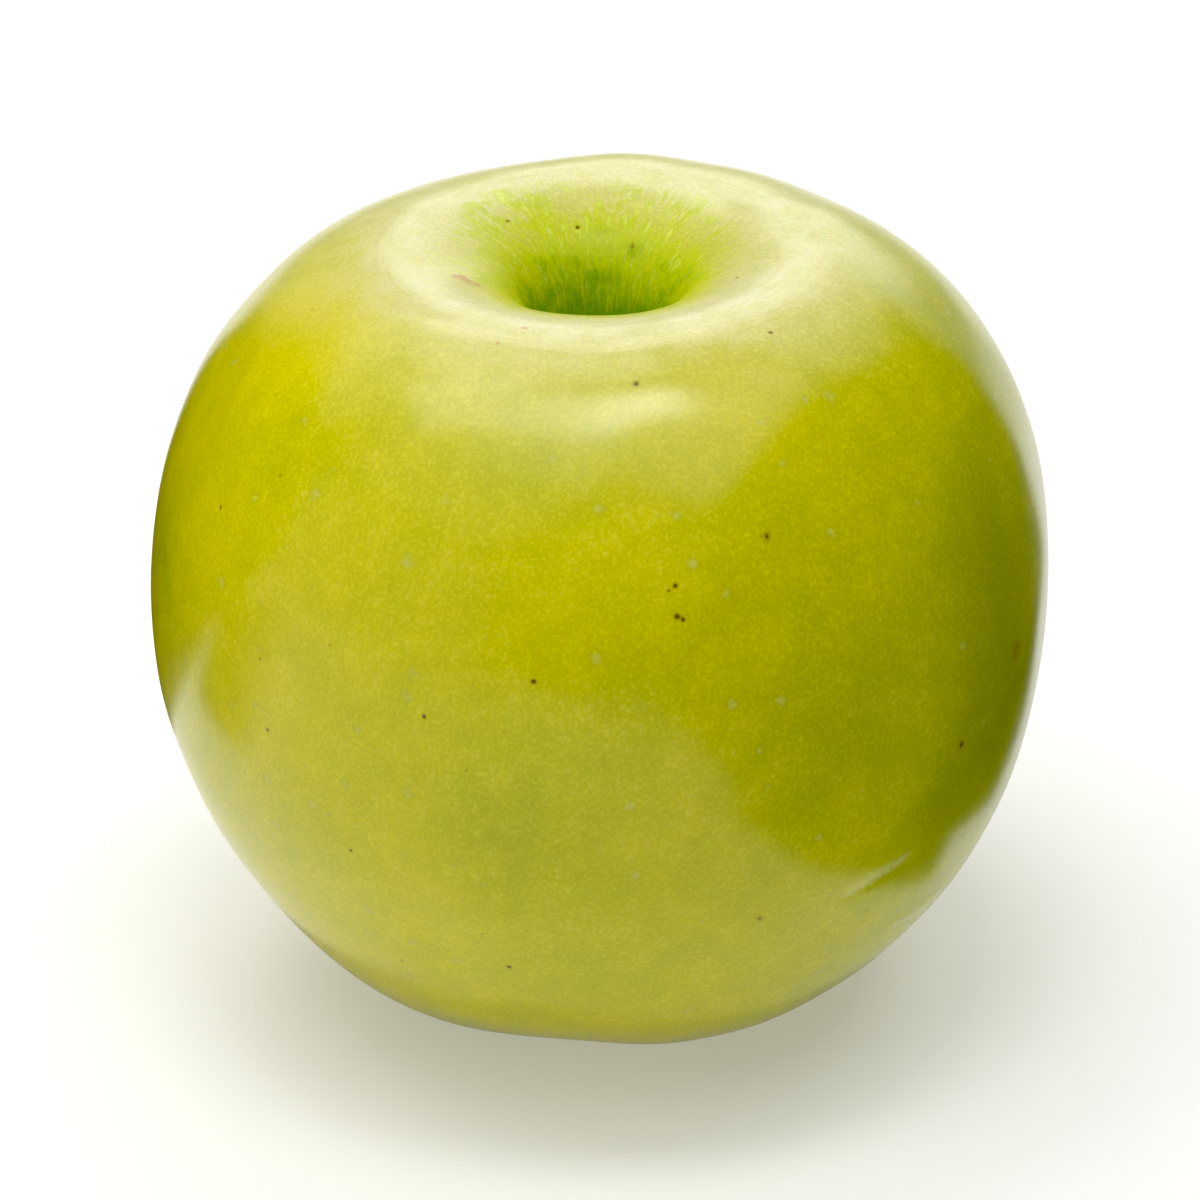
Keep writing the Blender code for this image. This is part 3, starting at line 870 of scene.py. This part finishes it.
# %% Calyx seat
SEAT_COLUMNS = 40
seat_profile = np.array([
    (0.0002, BASIN_DEPTH + 0.0015), (CALYX_RADIUS, BASIN_DEPTH + 0.0015), (CALYX_RADIUS, BASIN_DEPTH + 0.0004),
    (0.96 * CALYX_RADIUS, BASIN_DEPTH - 0.0004), (0.80 * CALYX_RADIUS, BASIN_DEPTH - 0.0010),
    (0.55 * CALYX_RADIUS, BASIN_DEPTH - 0.0013), (0.30 * CALYX_RADIUS, BASIN_DEPTH - 0.0011),
    (0.0002, BASIN_DEPTH - 0.0009),
])
seat_turn = np.linspace(0, math.tau, SEAT_COLUMNS, endpoint=False)
lobed = 1 + 0.05 * np.cos(CARPELS * (seat_turn - CARPEL_BEARING))
seat_grid = np.stack([
    seat_profile[:, :1] * lobed * np.cos(seat_turn),
    seat_profile[:, :1] * lobed * np.sin(seat_turn),
    np.repeat(seat_profile[:, 1:], SEAT_COLUMNS, 1),
], -1) - shift
print("seat:", seat_grid.shape)

# %% Sepals
SEPAL_LENGTH = 0.0046
SEPAL_HALF_WIDTH = 0.0014
SEPAL_WALL = 0.00026
SEPAL_ACROSS = 13
SEPAL_ALONG = 26


def sepal_sheet(bearing, curl, length, seed):
    """One dried blade as a grid: its width tapers as a power, it leans in as a sine and curls out as a power,
    its edges cup as a square, and random waves crumple it."""
    along, across = np.meshgrid(np.linspace(0, 1, SEPAL_ALONG), np.linspace(-1, 1, SEPAL_ACROSS), indexing="ij")
    half = SEPAL_HALF_WIDTH * (1 - along) ** 0.75 * (1 + 0.45 * along) + 0.00009
    out = 0.72 * CALYX_RADIUS - 0.0008 * np.sin(math.pi * along * 0.9) + curl * along**2.5
    out = out - 0.00035 * across**2 * (1 - along)
    side = across * half
    height = BASIN_DEPTH - 0.0002 - length * along
    sheet = np.stack([out, side, height], -1)
    sheet[..., 0] += 0.00009 * waves(sheet, 16, (0.0009, 0.0030), seed) * along
    c, s = math.cos(bearing), math.sin(bearing)
    return sheet @ np.array([[c, s, 0], [-s, c, 0], [0, 0, 1]])


def walled(sheet, wall):
    """A closed skin round a sheet: one ring per row, over the top side and back along the under side."""
    down, along = np.gradient(sheet, axis=0), np.gradient(sheet, axis=1)
    normal = np.cross(down, along)
    normal /= np.linalg.norm(normal, axis=-1, keepdims=True)
    edge = np.sqrt(np.clip(1 - np.linspace(-1, 1, sheet.shape[1]) ** 4, 0, 1))[None, :, None]
    half_wall = 0.5 * wall * normal * (0.25 + 0.75 * edge)
    return np.concatenate([sheet + half_wall, (sheet - half_wall)[:, ::-1]], 1)


sepal_draw = np.random.default_rng(5)
sepal_grids = []
for index in range(CARPELS):
    curl = sepal_draw.uniform(0.0014, 0.0024)
    length = SEPAL_LENGTH * sepal_draw.uniform(0.88, 1.03)
    bearing = CARPEL_BEARING + math.tau * index / CARPELS + sepal_draw.uniform(-0.08, 0.08)
    blade = walled(sepal_sheet(bearing, curl, length, 20 + index), SEPAL_WALL)
    sepal_grids.append(blade - shift)
lowest = min(float(blade[..., 2].min()) for blade in sepal_grids)
print("sepals:", len(sepal_grids), "of", sepal_grids[0].shape, "lowest", round(lowest / MM, 2), "mm")

# %% Stamens
STAMENS = 15
STAMEN_RINGS = 14
STAMEN_COLUMNS = 8
STAMEN_LENGTH = 0.0027
STAMEN_RADIUS = 0.00012

stamen_grids = []
for index in range(STAMENS):
    bearing = math.tau * (index + sepal_draw.uniform(-0.3, 0.3)) / STAMENS
    start = 0.0011 * sepal_draw.uniform(0.55, 1.0)
    leans = sepal_draw.uniform(-0.0006, 0.0003)
    t = np.linspace(0, 1, STAMEN_RINGS)[:, None]
    angle = np.linspace(0, math.tau, STAMEN_COLUMNS, endpoint=False)[None, :]
    thick = STAMEN_RADIUS * (1 - 0.25 * t + 1.1 * np.exp(-(((t - 0.93) / 0.06) ** 2)))
    out = start + leans * t**2
    x = out * math.cos(bearing) + thick * np.cos(angle)
    y = out * math.sin(bearing) + thick * np.sin(angle)
    z = BASIN_DEPTH - 0.0007 - STAMEN_LENGTH * sepal_draw.uniform(0.75, 1.0) * t + 0 * angle
    stamen_grids.append(np.stack([x, y, z], -1) - shift)
print("stamens:", len(stamen_grids))

# %% [markdown]
# ### Putting the calyx together
#
# The pieces of the tuft are never apart, so they are one mesh, with a value on each point that says
# how far out on a blade or thread it is. The finish uses it to run from felted brown to dark tips.

# %% Calyx mesh
calyx_points, calyx_faces, calyx_reach = [], [], []
offset = 0
for grid in [seat_grid] + sepal_grids + stamen_grids:
    points, corners = closed_parts(grid)
    reach = np.append(np.repeat(np.linspace(0, 1, grid.shape[0]), grid.shape[1]), [0, 1])
    calyx_points.append(points)
    calyx_faces += [[corner + offset for corner in face] for face in corners]
    calyx_reach.append(0 * reach if grid is seat_grid else reach)
    offset += len(points)
calyx_mesh = smooth_mesh("dried_calyx", np.vstack(calyx_points), calyx_faces)
reach_values = np.concatenate(calyx_reach).astype(np.float32)
calyx_mesh.attributes.new("reach", "FLOAT", "POINT").data.foreach_set("value", reach_values)
print("calyx:", len(calyx_mesh.vertices), "points")

# %% Calyx finish
FELT = "#8a7a52"
PAPER = "#5d4427"
CHAR = "#2b1d10"

paper, tree_c, paper_shader = new_material("dried_sepal_paper")
paper_place = add(tree_c, "ShaderNodeTexCoord").outputs["Object"]
paper_mm = add(tree_c, "ShaderNodeVectorMath", SCALED, [paper_place, 1 / MM])
reach_here = add(tree_c, "ShaderNodeAttribute", {"attribute_name": "reach"}).outputs["Fac"]
fuzz = add(tree_c, "ShaderNodeTexNoise", {}, {
    "Vector": paper_mm, "Scale": 4.0, "Detail": 4.0, "Roughness": 0.7,
})
fuzz_part = add(tree_c, "ShaderNodeMath", TIMES_PLUS, [fuzz, 0.8, -0.4])
dried = add(tree_c, "ShaderNodeMath", {"operation": "ADD", "use_clamp": True}, [reach_here, fuzz_part])
dried_low = add(tree_c, "ShaderNodeMapRange", {}, [dried, 0.0, 0.5])
dried_high = add(tree_c, "ShaderNodeMapRange", {}, [dried, 0.45, 1.0])
paper_tone = add(tree_c, "ShaderNodeMix", LAYER, [dried_low, linear(FELT), linear(PAPER)])
paper_tone = add(tree_c, "ShaderNodeMix", LAYER, [dried_high, paper_tone, linear(CHAR)])
tree_c.links.new(paper_tone.outputs["Result"], paper_shader.inputs["Base Color"])
paper_shader.inputs["Roughness"].default_value = 0.9
paper_bump = add(tree_c, "ShaderNodeBump", {}, {"Height": fuzz, "Strength": 0.7, "Distance": 0.1 * MM})
tree_c.links.new(paper_bump.outputs["Normal"], paper_shader.inputs["Normal"])
piece("dried_calyx", calyx_mesh, paper, "calyx")

# %% [markdown]
# ## The studio
#
# A glossy fruit is a mirror, and the mirror shows the room. The blue of the photograph is almost
# nothing but reflection, so it was read as a map of the lights: thirty-one patches of a dome were
# rendered one by one, and a least-squares fit said how bright each had to be. The patches that
# mattered became the panels of a white tent: a bright one nearly overhead, a ring of weaker ones
# round it, and faint ones low at the left, in front and behind.
#
# The fruit stands on a pale table that glows a little, like a light table, which keeps the ground
# white under a soft shadow.

# %% Floor
FLOOR_HALF = 2.5
FLOOR_TONE = "#d8d8d6"
FLOOR_GLOW = 0.29
FLOOR_LEVEL = -0.05 * MM


def sheet(name, corners, finish):
    """A flat piece of the studio with these corners, and its finish."""
    flat_mesh = bpy.data.meshes.new(name)
    flat_mesh.from_pydata(corners, [], [tuple(range(len(corners)))])
    made = bpy.data.objects.new(name, flat_mesh)
    scene.collection.objects.link(made)
    made.data.materials.append(finish)
    return made


floor_finish, tree_f, floor_shader = new_material("painted_table")
floor_place = add(tree_f, "ShaderNodeTexCoord").outputs["Object"]
floor_grain = add(tree_f, "ShaderNodeTexNoise", {}, {"Vector": floor_place, "Scale": 12.0, "Detail": 3.0})
floor_tone = add(tree_f, "ShaderNodeMapRange", {}, [floor_grain, 0.0, 1.0, 0.985, 1.0])
floor_colour = add(tree_f, "ShaderNodeVectorMath", SCALED, [linear(FLOOR_TONE)[:3], floor_tone])
tree_f.links.new(floor_colour.outputs[0], floor_shader.inputs["Base Color"])
floor_shader.inputs["Roughness"].default_value = 0.9
floor_shader.inputs["Emission Color"].default_value = (1.0, 1.0, 1.0, 1.0)
floor_shader.inputs["Emission Strength"].default_value = FLOOR_GLOW
floor_square = np.array([(-1, -1, 0), (1, -1, 0), (1, 1, 0), (-1, 1, 0)]) * FLOOR_HALF
sheet("studio_floor", floor_square + np.array([0, 0, FLOOR_LEVEL]), floor_finish)

# %% [markdown]
# ### Cards
#
# Low cards stand close by, as photographers use them. Black ones behind the left cheek and along the
# right draw the dark edges that set a pale fruit off from a white ground, and a small white one glows
# to put a pale reflected line on the right edge. Black sheets on the table are painted shade: the
# contact shadow, a dim disc, and the shaded table at the feet of the cards. All of them are seen by
# reflected rays alone, so that they leave no shadow, and no view shows them.

# %% Cards
CARD_TONE = "#101010"
LOW = 0.03
BLACK_CARDS = {
    "left_card": ((-400, 0, 6), (-44, 28, 6), (-44, 28, 66), (-400, 0, 66)),
    # The two table sheets are painted shade on the table, seen only in reflection.
    "left_table_shade": ((-400, 30, LOW), (-400, -50, LOW), (-82, -8, LOW), (-88, 21, LOW)),
    "right_table_shade": ((67, -2, LOW), (43, -6, LOW), (36, -90, LOW), (50, -90, LOW)),
    "right_card": ((52, 14, 0), (35, -400, 0), (35, -400, 66), (52, 14, 66)),
}
# A white card that glows and is seen only in reflection: it puts a painted pale line on the right edge.
WHITE_CARD = ((59, 63, 0), (83, 49, 0), (83, 49, 36), (59, 63, 36))
# A painted contact shadow: a dim disc under the fruit, seen only in reflection.
SHADOW_CENTRE = (-2.0, 0.0, LOW)
SHADOW_RADIUS = 29.5
CARD_GLOWS = {"black_card": 0.0, "glowing_white_card": 1.1, "contact_shadow": 0.24}

card_finishes = {}
for name, glow in CARD_GLOWS.items():
    card_finishes[name], _, card_shader = new_material(name)
    card_shader.inputs["Base Color"].default_value = linear(CARD_TONE)
    card_shader.inputs["Emission Color"].default_value = (1.0, 1.0, 1.0, 1.0)
    card_shader.inputs["Emission Strength"].default_value = glow
black = card_finishes["black_card"].node_tree.nodes["Principled BSDF"]
black.inputs["Roughness"].default_value = 1.0
black.inputs["Specular IOR Level"].default_value = 0.0

turns = np.linspace(0, math.tau, 48, endpoint=False)
circle = np.stack([np.cos(turns), np.sin(turns), 0 * turns], 1)
shadow_disc = circle * SHADOW_RADIUS + SHADOW_CENTRE
cards = [sheet("contact_shadow", shadow_disc * MM, card_finishes["contact_shadow"])]
cards += [sheet(name, np.array(corners) * MM, card_finishes["black_card"]) for name, corners in BLACK_CARDS.items()]
cards.append(sheet("glowing_white_card", np.array(WHITE_CARD) * MM, card_finishes["glowing_white_card"]))
for card in cards:
    card.visible_camera = False
    card.visible_shadow = False
    card.visible_diffuse = False
    card.visible_transmission = False


# %% Lights
MIDDLE = (0, 0, 0.04)
TENT_RADIUS = 1.0


def softbox(name, place, width, depth, brightness):
    """A rectangular soft light that faces the fruit. Its watts are four times its brightness times its area."""
    data = bpy.data.lights.new(name, "AREA")
    data.shape = "RECTANGLE"
    data.size = width
    data.size_y = depth
    data.energy = 4 * width * depth * brightness
    made = bpy.data.objects.new(name, data)
    scene.collection.objects.link(made)
    made.location = place
    made.rotation_euler = (Vector(MIDDLE) - Vector(place)).to_track_quat("-Z", "Y").to_euler()
    made.visible_camera = False


def toward(azimuth, elevation, distance):
    """A place in a direction from the middle of the fruit: azimuth 0 is behind, 90 is right, in degrees."""
    turn, rise = math.radians(azimuth), math.radians(elevation)
    level = distance * math.cos(rise)
    return level * math.sin(turn), level * math.cos(turn), MIDDLE[2] + distance * math.sin(rise)


TENT = (
    (84, 0.22, ((175, 0.36, 8.80),)),
    (66, 0.42, ((-150, 0.43, 1.50), (-90, 0.43, 2.90), (-30, 0.43, 1.70), (112, 1.10, 1.45))),
    (45, 0.35, ((-122, 0.86, 0.68), (-44, 1.10, 0.75), (30, 0.75, 0.90))),
    (41, 0.26, ((-5, 0.32, 1.80),)),
    (35, 0.70, ((180, 0.72, 0.34),)),
    (24, 0.35, ((14, 0.64, 1.20),)),
    (16, 0.60, ((-122, 1.25, 0.52),)),
    (12, 0.45, ((5, 1.50, 0.36),)),
)
for elevation, height, row in TENT:
    for azimuth, width, brightness in row:
        name = f"panel_{elevation:02d}_{azimuth + 180:03d}"
        softbox(name, toward(azimuth, elevation, TENT_RADIUS), width, height, brightness)
print("lights:", sum(len(row) for _, _, row in TENT))

# %% World
world = bpy.data.worlds.new("studio_air")
scene.world = world
world.use_nodes = True
air = world.node_tree.nodes["Background"]
air.inputs["Color"].default_value = linear("#fafafa")
air.inputs["Strength"].default_value = 1.0
world.cycles_visibility.diffuse = False
world.cycles_visibility.glossy = False
